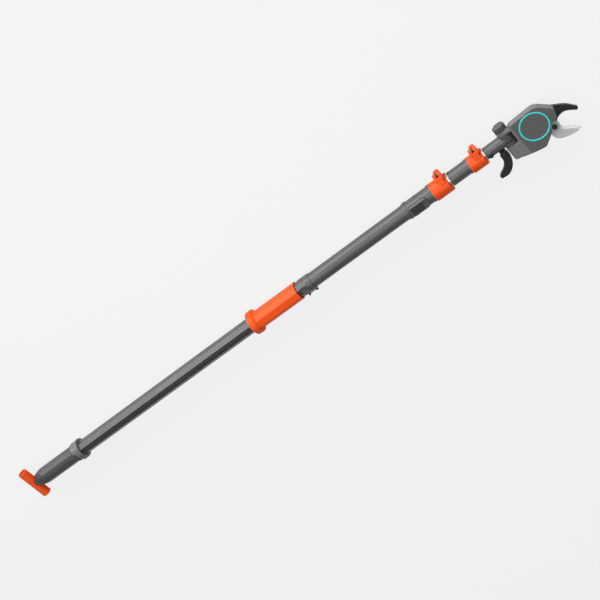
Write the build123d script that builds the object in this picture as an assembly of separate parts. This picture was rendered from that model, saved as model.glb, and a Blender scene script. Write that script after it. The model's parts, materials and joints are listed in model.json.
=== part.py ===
from build123d import *
import math
import os

os.makedirs("parts", exist_ok=True)

# Tree pruner pole. +X runs up the pole to the head, +Z is the side that the
# round trim of the head faces, and the origin is the middle of the T-handle.

# Driving lengths along the pole
tee_length = 102.0
foot_length = 203.0
profile_length = 841.0
junction_length = 36.0
main_length = 310.0
connector_length = 88.0
lower_clamp_length = 50.0
middle_show = 5.0
sleeve_length = 59.0
upper_clamp_length = 43.0
upper_show = 4.0
neck_length = 65.0
head_reach = 133.0

# Driving sections of the tubes
main_bore_r = 18.1
main_wall = 2.8
middle_r = 17.0
upper_r = 14.5
thin_wall = 1.3
web = 1.1
side_wall = 1.7

# Travels
grip_travel = 220.0
blade_swing = 58.0

# Fits
running = 0.08
seat = 0.03
clear = 0.3
skin = 0.2
overrun = 5.0

# Stations along X
tee_r = 14.3
foot_x = 8.0
foot_end = foot_x + foot_length
junction_x = foot_end + profile_length
junction_end = junction_x + junction_length
connector_x = junction_end + main_length
connector_end = connector_x + connector_length
lower_clamp_end = connector_end + lower_clamp_length
sleeve_x = lower_clamp_end + middle_show
sleeve_end = sleeve_x + sleeve_length
upper_clamp_end = sleeve_end + upper_clamp_length
neck_x = upper_clamp_end + upper_show
hinge_x = neck_x + neck_length

# Pull cord and its channel along the front of the profiled tube
cord_r = 0.8
lane_y = 5.3
carriage_gap = 0.15
carriage_t = 2.6
strip_gap = 0.25
strip_t = 1.0
strip_half = 4.2
channel_half = 7.0
channel_lip = 1.6
floor_z = main_bore_r + web
lane_z = floor_z + carriage_gap + carriage_t / 2
strip_z = floor_z + carriage_gap + carriage_t + strip_gap
front_z = strip_z + strip_t
run_z = 6.5

# Soft polygon section of the profiled tube
front_half = channel_half + channel_lip
side_half = main_bore_r + side_wall
shoulder_z = 11.0
haunch_z = 9.0
base_half = 9.0
corner_round = 5.0
edge_round = 0.8


def rod_x(x0, x1, r, y=0, z=0):
    return Pos((x0 + x1) / 2, y, z) * Rot(0, 90, 0) * Cylinder(r, x1 - x0)


def rod_y(y0, y1, r, x=0, z=0):
    return Pos(x, (y0 + y1) / 2, z) * Rot(90, 0, 0) * Cylinder(r, y1 - y0)


def rod_z(z0, z1, r, x=0, y=0):
    return Pos(x, y, (z0 + z1) / 2) * Cylinder(r, z1 - z0)


def tube_x(x0, x1, r_out, r_in, y=0, z=0):
    return rod_x(x0, x1, r_out, y, z) - rod_x(x0 - overrun, x1 + overrun, r_in, y, z)


def block(x0, x1, y0, y1, z0, z1):
    return Pos((x0 + x1) / 2, (y0 + y1) / 2, (z0 + z1) / 2) * Box(x1 - x0, y1 - y0, z1 - z0)


def along_x(face, x0, x1):
    """Extrude a face drawn with (Y, Z) as its axes."""
    return extrude(Plane.YZ.offset(x0) * face, amount=x1 - x0, dir=(1, 0, 0))


def along_y(face, y0, y1):
    """Extrude a face drawn with (X, Z) as its axes."""
    return extrude(Plane.XZ.offset(-y0) * face, amount=y1 - y0, dir=(0, 1, 0))


def along_z(face, z0, z1):
    return extrude(Plane.XY.offset(z0) * face, amount=z1 - z0, dir=(0, 0, 1))


def hex_nut(z0, z1, across_flats):
    corner_r = across_flats / math.sqrt(3)
    return along_z(RegularPolygon(corner_r, 6), z0, z1)


def profile_face(grow=0, soft_round=corner_round, front_round=edge_round):
    """Section of the profiled tube in (Y, Z), grown evenly by an amount."""
    right = [
        (front_half, front_z),
        (side_half, shoulder_z),
        (side_half, -haunch_z),
        (base_half, -side_half),
    ]
    left = [(-y, z) for y, z in reversed(right)]
    face = Polygon(*right, *left, align=None)
    if grow != 0:
        face = offset(face, grow, kind=Kind.INTERSECTION)
    soft = [v for v in face.vertices() if v.Y < front_z - edge_round]
    face = fillet(soft, soft_round)
    sharp = [v for v in face.vertices() if v.Y > front_z - edge_round + grow]
    return fillet(sharp, front_round)


def save(name, shape):
    export_step(shape, "parts/" + name + ".step")


# T-handle: a hollow bar across the pole with a boss for the pull rod
tee_bore_r = 10.5
tee_rim = 1.6
tee_boss_r = 9.0
tee_boss_reach = 24.0
tee_pin_r = 2.0
tee_pin_x = 20.0
rod_half = 6.0
rod_t = 3.0
saddle_gap = 0.4


def make_tee_handle():
    half = tee_length / 2
    bar = rod_y(-half, half, tee_r)
    bar = fillet(bar.edges().filter_by(GeomType.CIRCLE), tee_rim)
    boss = rod_x(0, tee_boss_reach, tee_boss_r)
    bar = bar + boss
    bar = bar - rod_y(-half - overrun, half + overrun, tee_bore_r)
    slot_half = rod_half + skin
    slot = block(tee_r - rod_t, tee_boss_reach + overrun, -slot_half, slot_half,
                 -rod_t / 2 - skin, rod_t / 2 + skin)
    bar = bar - slot
    return bar - rod_z(-tee_r, tee_r, tee_pin_r + seat, tee_pin_x)


# Pull rod: flat bar from the T-handle to the yoke of the foot pulley
pulley_groove_r = (lane_z - run_z) / 2
pulley_z = (lane_z + run_z) / 2
pulley_rim = 1.0
pulley_half = 1.6
yoke_t = 1.4
yoke_reach = 10.0
foot_axle_r = 1.8
pulley_setback = 36.0
pulley_x = foot_end - pulley_setback


def grooved_pulley(groove_r, half, bore_r):
    """Pulley about the Z axis whose groove holds the cord at one radius."""
    body = rod_z(-half, half, groove_r + pulley_rim)
    mouth = rod_z(-cord_r - skin, cord_r + skin, groove_r + 2 * pulley_rim) - rod_z(-half, half, groove_r)
    body = body - mouth - Torus(groove_r, cord_r + skin)
    return body - rod_z(-half - overrun, half + overrun, bore_r)


def make_foot_pulley():
    upright = Rot(90, 0, 0) * grooved_pulley(pulley_groove_r, pulley_half, foot_axle_r + running)
    return Pos(pulley_x, -lane_y, pulley_z) * upright


def make_pull_rod():
    bar = block(tee_r - rod_t + skin, pulley_x + yoke_reach, -rod_half, rod_half,
                -rod_t / 2, rod_t / 2)
    inner = pulley_half + skin
    for side in (-1, 1):
        y_in = -lane_y + side * inner
        y_out = y_in + side * yoke_t
        cheek = block(pulley_x - yoke_reach, pulley_x + yoke_reach, min(y_in, y_out), max(y_in, y_out),
                      0, pulley_z + 2 * foot_axle_r)
        bar = bar + cheek
    bar = bar + block(pulley_x - yoke_reach, pulley_x + yoke_reach, -lane_y - inner - yoke_t, rod_half,
                      -rod_t / 2, rod_t / 2)
    bar = bar - rod_y(-lane_y - 2 * inner - yoke_t, -lane_y + 2 * inner + yoke_t,
                      foot_axle_r + seat, pulley_x, pulley_z)
    return bar - rod_z(-rod_t, rod_t, tee_pin_r + seat, tee_pin_x)


def make_tee_pin():
    return rod_z(-tee_boss_r + edge_round, tee_boss_r - edge_round, tee_pin_r, tee_pin_x)


def make_foot_axle():
    reach = pulley_half + skin + yoke_t
    return rod_y(-lane_y - reach, -lane_y + reach, foot_axle_r, pulley_x, pulley_z)


def make_tee_cord():
    """Both runs of the cord from the foot pulley, and the half turn round it."""
    end_x = pulley_x + grip_travel / 2 + yoke_reach + overrun
    path = (
        Line((end_x, run_z), (pulley_x, run_z))
        + ThreePointArc((pulley_x, run_z), (pulley_x - pulley_groove_r, pulley_z), (pulley_x, lane_z))
        + Line((pulley_x, lane_z), (end_x, lane_z))
    )
    start = Plane(origin=(end_x, -lane_y, run_z), z_dir=(-1, 0, 0))
    return sweep(start * Circle(cord_r), path=Plane.XZ.offset(lane_y) * path)


# Foot: bullet nosed shell with a saddle for the T-handle and a round spigot
foot_grow = 3.1
foot_wall = 2.0
foot_tip_r = 13.5
foot_nose = 54.0
spigot_r = 26.0
foot_socket = 24.0
ring_length = 26.0
ring_x = foot_end - ring_length
stop_t = 5.0
stop_r = 27.4
foot_cavity_x = 44.0


def bullet(shrink):
    """Turned envelope of the foot, smaller by an amount on every radius."""
    nose_end = foot_x + foot_nose
    round_r = spigot_r - shrink
    outline = (
        Line((foot_x, 0), (foot_x, foot_tip_r - shrink))
        + TangentArc((nose_end, round_r), (foot_x, foot_tip_r - shrink), tangent=(-1, 0))
        + Line((nose_end, round_r), (foot_end, round_r))
        + Line((foot_end, round_r), (foot_end, 0))
        + Line((foot_end, 0), (foot_x, 0))
    )
    return revolve(Plane.XZ * make_face(outline), axis=Axis.X)


def make_foot_shell():
    shell = along_x(profile_face(foot_grow), foot_x, ring_x) & bullet(0)
    shell = shell + rod_x(ring_x - stop_t, foot_end, spigot_r)
    shell = shell + rod_x(ring_x - stop_t, ring_x - skin, stop_r)
    socket_x = foot_end - foot_socket
    cavity = along_x(profile_face(foot_grow - foot_wall), foot_cavity_x, socket_x) & bullet(foot_wall)
    shell = shell - cavity
    shell = shell - along_x(profile_face(seat), socket_x, foot_end + overrun)
    shell = shell - rod_y(-tee_length, tee_length, tee_r + saddle_gap)
    rod_slot = block(-overrun, foot_cavity_x + overrun, -rod_half - skin, rod_half + skin,
                     -rod_t / 2 - skin, rod_t / 2 + skin)
    shell = shell - rod_slot
    boss_room = rod_x(0, tee_boss_reach + clear, tee_boss_r + clear)
    shell = shell - boss_room
    return shell - ring_pin_rod(seat)


# Lock ring: turns on the spigot between the stop and the end of the foot
ring_wall = 3.0
ring_round = 1.2
ring_turn = 35.0
ring_pin_r = 2.0
ring_pin_x = ring_x + ring_length / 2
ring_pin_depth = 1.2
ring_pin_lift = 1.3
lug_r = 8.0
lug_rise = 2.2
lug_angles = (-70, 60)
end_rim_length = 5.0
end_rim_rise = 1.2
rim_step = 8.0
rim_step_from = 72.0
rim_step_span = 110.0


def ring_pin_rod(grow):
    """Stop pin of the lock ring, on the back of the spigot."""
    return rod_z(-spigot_r - ring_pin_lift, -spigot_r + ring_pin_depth, ring_pin_r + grow, ring_pin_x)


def sector_yz(r, start, span):
    """Pie of a disc in (Y, Z), from an angle counted from +Y."""
    a0 = math.radians(start)
    a1 = math.radians(start + span)
    mid = (a0 + a1) / 2
    outline = (
        Line((0, 0), (r * math.cos(a0), r * math.sin(a0)))
        + ThreePointArc(
            (r * math.cos(a0), r * math.sin(a0)),
            (r * math.cos(mid), r * math.sin(mid)),
            (r * math.cos(a1), r * math.sin(a1)),
        )
        + Line((r * math.cos(a1), r * math.sin(a1)), (0, 0))
    )
    return make_face(outline)


def make_lock_ring():
    inner = spigot_r + skin
    outer = inner + ring_wall
    body = rod_x(ring_x, foot_end, outer)
    body = body + rod_x(foot_end - end_rim_length, foot_end, outer + end_rim_rise)
    for angle in lug_angles:
        lug = Rot(angle, 0, 0) * rod_x(ring_x + rim_step, foot_end, lug_r, 0, outer - lug_r + lug_rise)
        body = body + lug
    ends = body.edges().filter_by_position(Axis.X, foot_end, foot_end)
    body = fillet(ends, ring_round)
    body = body - rod_x(ring_x - overrun, foot_end + overrun, inner)
    step = along_x(sector_yz(2 * outer, rim_step_from, rim_step_span), ring_x - overrun, ring_x + rim_step)
    body = body - step
    pin_angle = math.degrees(ring_pin_r / spigot_r)
    slot = sector_yz(spigot_r + ring_pin_lift + skin, 270 - 2 * pin_angle, ring_turn + 4 * pin_angle)
    half = ring_pin_r + skin
    return body - along_x(slot, ring_pin_x - half, ring_pin_x + half)


# Profiled tube and the strip that closes its cord channel
tube_overlap = 16.0
strip_foot = 14.0
strip_foot_half = 3.4
turn_x = junction_x + 8.0
turn_axle_r = 1.6
profile_x = foot_end - foot_socket
profile_end = junction_x + tube_overlap


def make_profile_tube():
    tube = along_x(profile_face(), profile_x, profile_end)
    tube = tube - rod_x(profile_x - overrun, profile_end + overrun, main_bore_r)
    channel = block(profile_x - overrun, profile_end + overrun, -channel_half, channel_half,
                    floor_z, front_z + overrun)
    tube = tube - channel
    return tube - rod_z(0, front_z, turn_axle_r + seat, turn_x)


def make_channel_strip():
    x0 = profile_x + skin
    x1 = turn_x - channel_half - skin
    strip = block(x0, x1, -strip_half, strip_half, strip_z, front_z)
    for start in (x0, x1 - strip_foot):
        strip = strip + block(start, start + strip_foot, -strip_foot_half, strip_foot_half, floor_z, strip_z)
    return strip


# Cord on the pole: the return run, the short run to the grip, the turn between
carriage_length = 50.0
carriage_setback = 92.0
carriage_x = junction_x - carriage_setback
carriage_end = carriage_x + carriage_length


def make_return_cord():
    x0 = pulley_x + grip_travel / 2 + yoke_reach + 2 * overrun
    line = rod_x(x0, turn_x, cord_r, -lane_y, lane_z)
    path = ThreePointArc((turn_x, -lane_y, lane_z), (turn_x + lane_y, 0, lane_z), (turn_x, lane_y, lane_z))
    start = Plane(origin=(turn_x, -lane_y, lane_z), z_dir=(1, 0, 0))
    return line + sweep(start * Circle(cord_r), path=path)


def make_grip_cord():
    return rod_x(carriage_end, turn_x, cord_r, lane_y, lane_z)


def make_junction_pulley():
    half = carriage_t / 2 - running
    return Pos(turn_x, 0, lane_z) * grooved_pulley(lane_y, half, turn_axle_r + running)


# Junction collar: joins the profiled tube to the main tube over the pulley
junction_grow = 2.0
junction_end_wall = 1.2
junction_shoulder = 4.3
junction_round = 11.0
junction_edge = 4.0
hood_half = 12.0
hood_lift = 1.5
hood_rim = 2.2
main_r = main_bore_r + main_wall
lug_t = 5.0
lug_lift = 6.9
lug_half = 4.0
lug_pin_r = 1.8


def make_junction_collar():
    roof = front_z + junction_grow
    body = along_x(profile_face(junction_grow, junction_round, junction_edge), junction_x, junction_end)
    waist_x = junction_x + tube_overlap
    waist_r = front_z + junction_shoulder
    end_r = main_r + junction_end_wall
    body = body & revolve(Plane.XZ * make_face(
        Line((junction_x, 0), (junction_x, waist_r))
        + Line((junction_x, waist_r), (waist_x, waist_r))
        + Spline((waist_x, waist_r), (junction_end, end_r), tangents=[(1, -0.5), (1, -0.05)])
        + Line((junction_end, end_r), (junction_end, 0))
        + Line((junction_end, 0), (junction_x, 0))
    ), axis=Axis.X)
    hood = Pos(junction_x + hood_half / 2, 0) * Rectangle(hood_half, 2 * hood_half) \
        + Pos(junction_x + hood_half, 0) * Circle(hood_half)
    hollow = Pos(junction_x + hood_half / 2, 0) * Rectangle(hood_half + overrun, 2 * (hood_half - hood_rim)) \
        + Pos(junction_x + hood_half, 0) * Circle(hood_half - hood_rim)
    body = body + along_z(hood, front_z, roof + hood_lift)
    body = body - along_z(hollow, roof - hood_rim / 2, roof + 2 * hood_lift)
    for x in (junction_x + lug_t / 2, junction_end - 3 * lug_t / 2):
        body = body + block(x, x + lug_t, -side_half - junction_grow - lug_lift, 0, 0, 2 * lug_half)
    body = body - rod_x(junction_x - overrun, junction_end + overrun, lug_pin_r + seat,
                        -side_half - junction_grow - lug_lift / 2, lug_half)
    body = body - along_x(profile_face(seat), junction_x - overrun, profile_end)
    body = body - rod_x(profile_end - seat, junction_end + overrun, main_r + seat)
    body = body - block(junction_x, profile_end, -channel_half, channel_half, floor_z, front_z)
    return body - rod_z(0, roof, turn_axle_r + seat, turn_x)


def make_junction_axle():
    return rod_z(main_bore_r + web / 3, front_z + junction_grow / 2, turn_axle_r, turn_x)


def make_lug_pin():
    return rod_x(junction_x + lug_t / 2, junction_end - lug_t / 2, lug_pin_r,
                 -side_half - junction_grow - lug_lift / 2, lug_half)


# Grip: flanged shell on two bushes, tied to the cord by the carriage
grip_gap = 11.0
grip_length = 165.0
flange_length = 18.0
flange_r = 34.4
flange_round = 2.2
flange_neck = 21.0
grip_wall = 2.6
bush_wall = 1.6
bush_length = 26.0
bush_inset = 2.0
leg_in = 4.6
leg_out = 6.6
grip_corner = 12.0
grip_edge = 5.0
grip_end = junction_x - grip_gap
grip_x = grip_end - grip_length


def make_grip_shell():
    bore = running + bush_wall + seat
    body = along_x(profile_face(bore + grip_wall, grip_corner, grip_edge), grip_x, grip_end)
    flange_end = grip_x + flange_length
    neck_end = flange_end + flange_neck
    flange = revolve(Plane.XZ * make_face(
        Line((grip_x, 0), (grip_x, flange_r))
        + Line((grip_x, flange_r), (flange_end, flange_r))
        + Spline((flange_end, flange_r), (neck_end, front_z), tangents=[(1, -2), (1, 0)])
        + Line((neck_end, front_z), (neck_end, 0))
        + Line((neck_end, 0), (grip_x, 0))
    ), axis=Axis.X)
    for x in (grip_x, flange_end):
        flange = fillet(flange.edges().filter_by_position(Axis.X, x, x), flange_round)
    body = body + flange
    body = body - along_x(profile_face(bore), grip_x - overrun, grip_end + overrun)
    return body


def make_grip_bush(x0):
    ring = along_x(profile_face(running + bush_wall), x0, x0 + bush_length)
    return ring - along_x(profile_face(running), x0 - overrun, x0 + bush_length + overrun)


def make_grip_carriage():
    """Plate in the channel, with two ribs that rise beside the strip to the grip."""
    low = floor_z + carriage_gap
    plate = block(carriage_x, carriage_end, -leg_out, leg_out, low, low + carriage_t)
    for side in (-1, 1):
        y0 = min(side * leg_in, side * leg_out)
        plate = plate + block(carriage_x, carriage_end, y0, y0 + leg_out - leg_in, low,
                              front_z + running + bush_wall)
    plate = plate - rod_x(carriage_x - overrun, carriage_end + overrun, cord_r + skin, -lane_y, lane_z)
    return plate


# Connector: sleeve over the end of the main tube, with the collet of the lower clamp
connector_wall = 1.6
tube_stop = 6.0
rib_r = 24.2
rib_t = 6.0
end_rib_t = 8.0
pad_x = connector_x + 14.0
pad_length = 56.0
pad_half = 15.0
pad_top = 28.5
pad_round = 9.0
pad_bevel = 2.5
window_length = 44.0
window_half_y = 10.5
slider_travel = 8.0
slider_room = 4.0
slider_length = window_length - slider_travel - slider_room
slider_rise = 1.2
slider_floor = 25.2
slit_t = 2.0
slits = 4
side_screw_r = 2.6
side_screw_lift = 1.5
connector_screw_x = connector_x + connector_length / 2


def side_screw_holes(x):
    return rod_y(-2 * main_r, 2 * main_r, side_screw_r / 2 + seat, x)


def side_screw(side, x, in_y, head_y):
    """Pan head screw put in from one side of the pole."""
    top_y = head_y + side_screw_lift
    shank = rod_y(in_y, head_y, side_screw_r / 2, x)
    head = rod_y(head_y, top_y, side_screw_r, x)
    head = fillet(head.edges().filter_by_position(Axis.Y, top_y, top_y), side_screw_lift / 2)
    screw = shank + head - block(x - side_screw_r / 2, x + side_screw_r / 2, top_y - side_screw_lift / 2,
                                 top_y + overrun, -side_screw_lift / 4, side_screw_lift / 4)
    return screw if side > 0 else mirror(screw, about=Plane.XZ)


def pad_face(shrink):
    return Pos(pad_x + pad_length / 2, 0) * RectangleRounded(
        pad_length - 2 * shrink, 2 * (pad_half - shrink), pad_round - shrink)


def collet(x0, x1, r_out, r_in):
    """Split sleeve that a clamp closes."""
    body = tube_x(x0, x1, r_out, r_in)
    for i in range(slits):
        slit = block(x0 + slit_t * 4, x1 + overrun, -slit_t / 2, slit_t / 2, 0, 2 * r_out)
        body = body - Rot(45 + i * 360 / slits, 0, 0) * slit
    return body


def make_connector():
    end = connector_end
    sleeve_r = main_r + connector_wall
    body = rod_x(connector_x, end, sleeve_r)
    body = body + rod_x(connector_x + rib_t, connector_x + 2 * rib_t, rib_r)
    body = body + rod_x(end - end_rib_t, end, rib_r)
    pad = along_z(pad_face(0), 0, pad_top)
    pad = chamfer(pad.edges().filter_by_position(Axis.Z, pad_top, pad_top), pad_bevel)
    body = body + pad
    body = body - rod_x(connector_x - overrun, end - tube_stop, main_r + seat)
    body = body - rod_x(0, neck_x, middle_r + running)
    window = Pos(pad_x + pad_length / 2, 0) * RectangleRounded(window_length, 2 * window_half_y, pad_bevel)
    body = body - along_z(window, slider_floor, pad_top + overrun)
    body = body - side_screw_holes(connector_screw_x)
    body = body + collet(end - seat, lower_clamp_end, main_r, middle_r + running)
    return body


def make_latch_slider():
    x0 = pad_x + (pad_length - window_length) / 2 + clear
    half = window_half_y - skin
    top = pad_top + slider_rise
    face = Pos(x0 + slider_length / 2, 0) * RectangleRounded(slider_length, 2 * half, pad_bevel - skin)
    body = along_z(face, slider_floor + running, top)
    ribs = 5
    pitch = slider_length / (ribs + 1)
    for i in range(ribs):
        x = x0 + (i + 1) * pitch
        body = body - block(x - pitch / 6, x + pitch / 6, -half, half, top - slider_rise, top + overrun)
    return body


def make_main_tube():
    tube = tube_x(profile_end, connector_end - tube_stop, main_r, main_bore_r)
    return tube - side_screw_holes(connector_screw_x)


# Flip clamps: split band, draw bolt, pin and a lever that wraps round the band
band_t = 3.0
ear_half = 6.5
ear_gap = 2.4
ear_t = 6.5
lever_gap = 0.5
lever_t = 2.4
bolt_r = 2.2
eye_r = 4.4
eye_half = 3.2
eye_room = 1.2
cam_r = 6.2
prong_t = 8.0
lever_neck_half = 7.5
fork_share = 0.42
clamp_pin_r = 1.8
pin_out = 14.0
lever_start = 66.0
lever_end = 186.0
lever_corner = 5.0
lever_edge = 0.9
clamp_nut_flats = 7.0
fork_setback = 12.0


class Clamp:
    """Stations and radii of one clamp on a collet of a given radius."""

    def __init__(self, x0, length, seat_r):
        self.x0 = x0 + 1.5 * skin
        self.x1 = x0 + length - skin
        self.seat_r = seat_r + seat
        self.band_r = self.seat_r + band_t
        self.fork_x = self.x1 - fork_setback
        self.pin_y = self.band_r + pin_out
        self.ear_top = ear_gap / 2 + ear_t
        self.pin_z = self.ear_top + cam_r + running
        self.bolt_y = self.pin_y

    def band(self):
        body = rod_x(self.x0, self.x1, self.band_r)
        reach = self.bolt_y + eye_r
        ears = block(self.fork_x - ear_half, self.fork_x + ear_half, 0, reach, -self.ear_top, self.ear_top)
        body = body + ears
        body = body - rod_x(self.x0 - overrun, self.x1 + overrun, self.seat_r)
        body = body - block(self.x0 - overrun, self.x1 + overrun, 0, reach + overrun,
                            -ear_gap / 2, ear_gap / 2)
        return body - rod_z(-2 * self.ear_top, 2 * self.ear_top, bolt_r + running, self.fork_x, self.bolt_y)

    def bolt(self):
        low = -self.ear_top - clamp_nut_flats / 2
        shank = rod_z(low - bolt_r, self.pin_z, bolt_r, self.fork_x, self.bolt_y)
        eye = rod_x(self.fork_x - eye_half + skin, self.fork_x + eye_half - skin, eye_r,
                    self.bolt_y, self.pin_z)
        nut = Pos(self.fork_x, self.bolt_y, 0) * hex_nut(low, -self.ear_top, clamp_nut_flats)
        body = shank + eye + nut
        return body - rod_x(self.fork_x - ear_half, self.fork_x + ear_half, clamp_pin_r + running,
                            self.pin_y, self.pin_z)

    def plate(self, inner):
        """Part of the lever that wraps round the band, with round corners and edges."""
        wrap = sector_yz(inner + lever_t, lever_start, lever_end - lever_start) - Circle(inner)
        body = along_x(wrap, self.x0, self.x1)
        corners = [e for e in body.edges().filter_by(GeomType.LINE) if abs(e.tangent_at(0).X) < 0.5]
        body = fillet(corners, lever_corner)
        outside = body.faces().sort_by(SortBy.AREA)[-1]
        return fillet(outside.edges(), lever_edge)

    def lever(self):
        """Plate, the neck that rises from it, and a fork that holds the eye of the bolt."""
        inner = self.band_r + lever_gap
        start = math.radians(lever_start)
        root_y = inner * math.cos(start) + lever_t
        root_z = inner * math.sin(start) + lever_t / 2
        fork_y = self.pin_y + fork_share * (root_y - self.pin_y)
        fork_z = self.pin_z + fork_share * (root_z - self.pin_z)
        pin_circle = (Pos(self.pin_y, self.pin_z) * Circle(cam_r)).edges()
        neck = make_hull(pin_circle + (Pos(root_y, root_z) * Circle(lever_t)).edges()) - Circle(inner)
        fork = make_hull(pin_circle + (Pos(fork_y, fork_z) * Circle(cam_r - lever_t / 2)).edges())
        body = self.plate(inner) + along_x(neck, self.fork_x - lever_neck_half, self.fork_x + lever_neck_half)
        head_half = eye_half + prong_t
        head = along_x(fork, self.fork_x - head_half, self.fork_x + head_half)
        ends = head.edges().filter_by_position(Axis.X, self.fork_x - head_half, self.fork_x - head_half) \
            + head.edges().filter_by_position(Axis.X, self.fork_x + head_half, self.fork_x + head_half)
        body = body + fillet(ends, lever_edge)
        slot_y = self.pin_y - eye_r - eye_room
        body = body - block(self.fork_x - eye_half, self.fork_x + eye_half, slot_y, 2 * self.pin_y,
                            0, 2 * self.pin_z)
        return body - rod_x(self.fork_x - 2 * head_half, self.fork_x + 2 * head_half, clamp_pin_r + seat,
                            self.pin_y, self.pin_z)

    def pin(self):
        reach = eye_half + prong_t
        return rod_x(self.fork_x - reach, self.fork_x + reach, clamp_pin_r, self.pin_y, self.pin_z)


lower_clamp = Clamp(connector_end, lower_clamp_length, main_r)
sleeve_r = middle_r + 2.5
upper_clamp = Clamp(sleeve_end, upper_clamp_length, middle_r + thin_wall)

# Middle stage
middle_x = 250.0
upper_x = 330.0
glide_length = 26.0
sleeve_rib_t = 7.0
sleeve_rib_r = sleeve_r + thin_wall
sleeve_screw_x = sleeve_x + 2 * side_screw_r


def make_middle_tube():
    tube = tube_x(middle_x, sleeve_end - tube_stop, middle_r, middle_r - thin_wall)
    return tube - side_screw_holes(sleeve_screw_x)


def make_glide(x0, r_out, tube_r):
    """Guide ring on the bottom end of a tube."""
    body = rod_x(x0 - glide_length / 2, x0 + glide_length / 2, r_out)
    body = body - rod_x(x0, x0 + glide_length, tube_r + seat)
    return body - rod_x(x0 - glide_length, x0 + overrun, tube_r - thin_wall)


def make_middle_sleeve():
    body = rod_x(sleeve_x, sleeve_end, sleeve_r)
    body = body + rod_x(sleeve_end - sleeve_rib_t, sleeve_end, sleeve_rib_r)
    body = body - rod_x(sleeve_x - overrun, sleeve_end - tube_stop, middle_r + seat)
    body = body - rod_x(sleeve_x, sleeve_end + overrun, upper_r + running)
    body = body - side_screw_holes(sleeve_screw_x)
    return body + collet(sleeve_end - seat, upper_clamp_end, middle_r + thin_wall, upper_r + running)


def make_sleeve_screws():
    return [side_screw(side, sleeve_screw_x, middle_r - thin_wall / 2, sleeve_r) for side in (-1, 1)]


# Upper stage: tube, neck with the hinge knuckle, branch hook
neck_wall = 1.5
knuckle_r = 17.0
knuckle_half = 18.0
hinge_bolt_r = 4.0
roller_half = 1.6
catch_r = 5.8
catch_lift = 4.0
catch_grooves = 9
catch_groove_r = 0.7
catch_bevel = 0.5
catch_first = 0.25
catch_boss_r = 7.4
catch_boss_lift = 0.8
catch_angle = 110.0
neck_screw_x = neck_x + 2 * catch_r - catch_boss_lift


def neck_screw_hole():
    return Rot(catch_angle, 0, 0) * rod_y(0, 2 * upper_r, side_screw_r / 2 + seat, neck_screw_x)


def neck_boss():
    """Round seat of the thumb screw, on the front of the neck."""
    boss = rod_y(0, upper_r + neck_wall + catch_boss_lift, catch_boss_r, neck_screw_x)
    return Rot(catch_angle, 0, 0) * boss


def make_upper_tube():
    tube = tube_x(upper_x, hinge_x - knuckle_r - neck_wall, upper_r, upper_r - thin_wall)
    return tube - neck_screw_hole()


def make_neck():
    socket_end = hinge_x - knuckle_r - neck_wall
    body = rod_x(neck_x, hinge_x, upper_r + neck_wall) + neck_boss()
    body = body + rod_y(-knuckle_half, knuckle_half, knuckle_r, hinge_x)
    body = body - rod_x(neck_x - overrun, socket_end, upper_r + seat)
    body = body - rod_y(-2 * knuckle_half, 2 * knuckle_half, hinge_bolt_r + running, hinge_x)
    half = roller_half + skin
    reach = run_z + pulley_rim + clear
    low = -lane_y - half
    high = -lane_y + half
    body = body - block(socket_end - overrun, hinge_x, low, high, -reach, reach)
    body = body - block(hinge_x - reach - 2 * half / 3, hinge_x + 2 * knuckle_r, low, high,
                        -2 * knuckle_r, 2 * knuckle_r)
    lug = block(hook_x - hook_lug_half, hook_x + hook_lug_half, hook_y - hook_lug_half, -upper_r,
                -hook_back_z - hook_lug_t, -hook_back_z)
    lug = lug + rod_z(-hook_back_z - hook_lug_t, -hook_back_z, hook_lug_half, hook_x, hook_y)
    lug = lug - rod_x(neck_x - overrun, hinge_x, upper_r + seat)
    lug = lug - rod_z(-4 * hook_back_z, 0, hook_screw_r + seat, hook_x, hook_y)
    return body + lug - neck_screw_hole()


def make_hinge_roller():
    flat = grooved_pulley(run_z, roller_half, hinge_bolt_r + running)
    return Pos(hinge_x, -lane_y, 0) * Rot(90, 0, 0) * flat


def make_upper_cord():
    x0 = pulley_x + grip_travel / 2 + yoke_reach + 2 * overrun
    return rod_x(x0, hinge_x - knuckle_r, cord_r, -lane_y, run_z)


# Branch hook: plate hook screwed to the lug of the neck
hook_setback = 30.0
hook_x = hinge_x - hook_setback
hook_y = -30.0
hook_back_z = 4.0
hook_lug_t = 3.0
hook_lug_half = 8.5
hook_t = 9.0
hook_boss_r = 10.5
hook_boss_lift = 1.5
hook_screw_r = 2.5
hook_head_r = 5.5
hook_head_t = 3.0
hook_drop = 50.0


def make_branch_hook():
    """Curved hook with a round boss, drawn about its screw in shares of its drop."""
    outer_shares = [(0.21, 0.0), (0.2, -0.25), (0.1, -0.55), (-0.2, -0.9), (-0.47, -1.03)]
    inner_shares = [(-0.86, -0.86), (-0.62, -0.68), (-0.43, -0.56), (-0.3, -0.4), (-0.21, 0.0)]
    outer = [(x * hook_drop, y * hook_drop) for x, y in outer_shares]
    inner = [(x * hook_drop, y * hook_drop) for x, y in inner_shares]
    tip = (-0.83 * hook_drop, -1.0 * hook_drop)
    outline = (
        Spline(*outer)
        + Line(outer[-1], tip)
        + Line(tip, inner[0])
        + Spline(*inner)
        + Line(inner[-1], outer[0])
    )
    face = make_face(outline)
    z0 = -hook_back_z
    body = along_z(face, z0, z0 + hook_t)
    body = body + rod_z(z0, z0 + hook_t + hook_boss_lift, hook_boss_r)
    body = body - rod_z(z0 - overrun, z0 + hook_t + overrun, hook_screw_r + seat)
    return Pos(hook_x, hook_y, 0) * body


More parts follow.
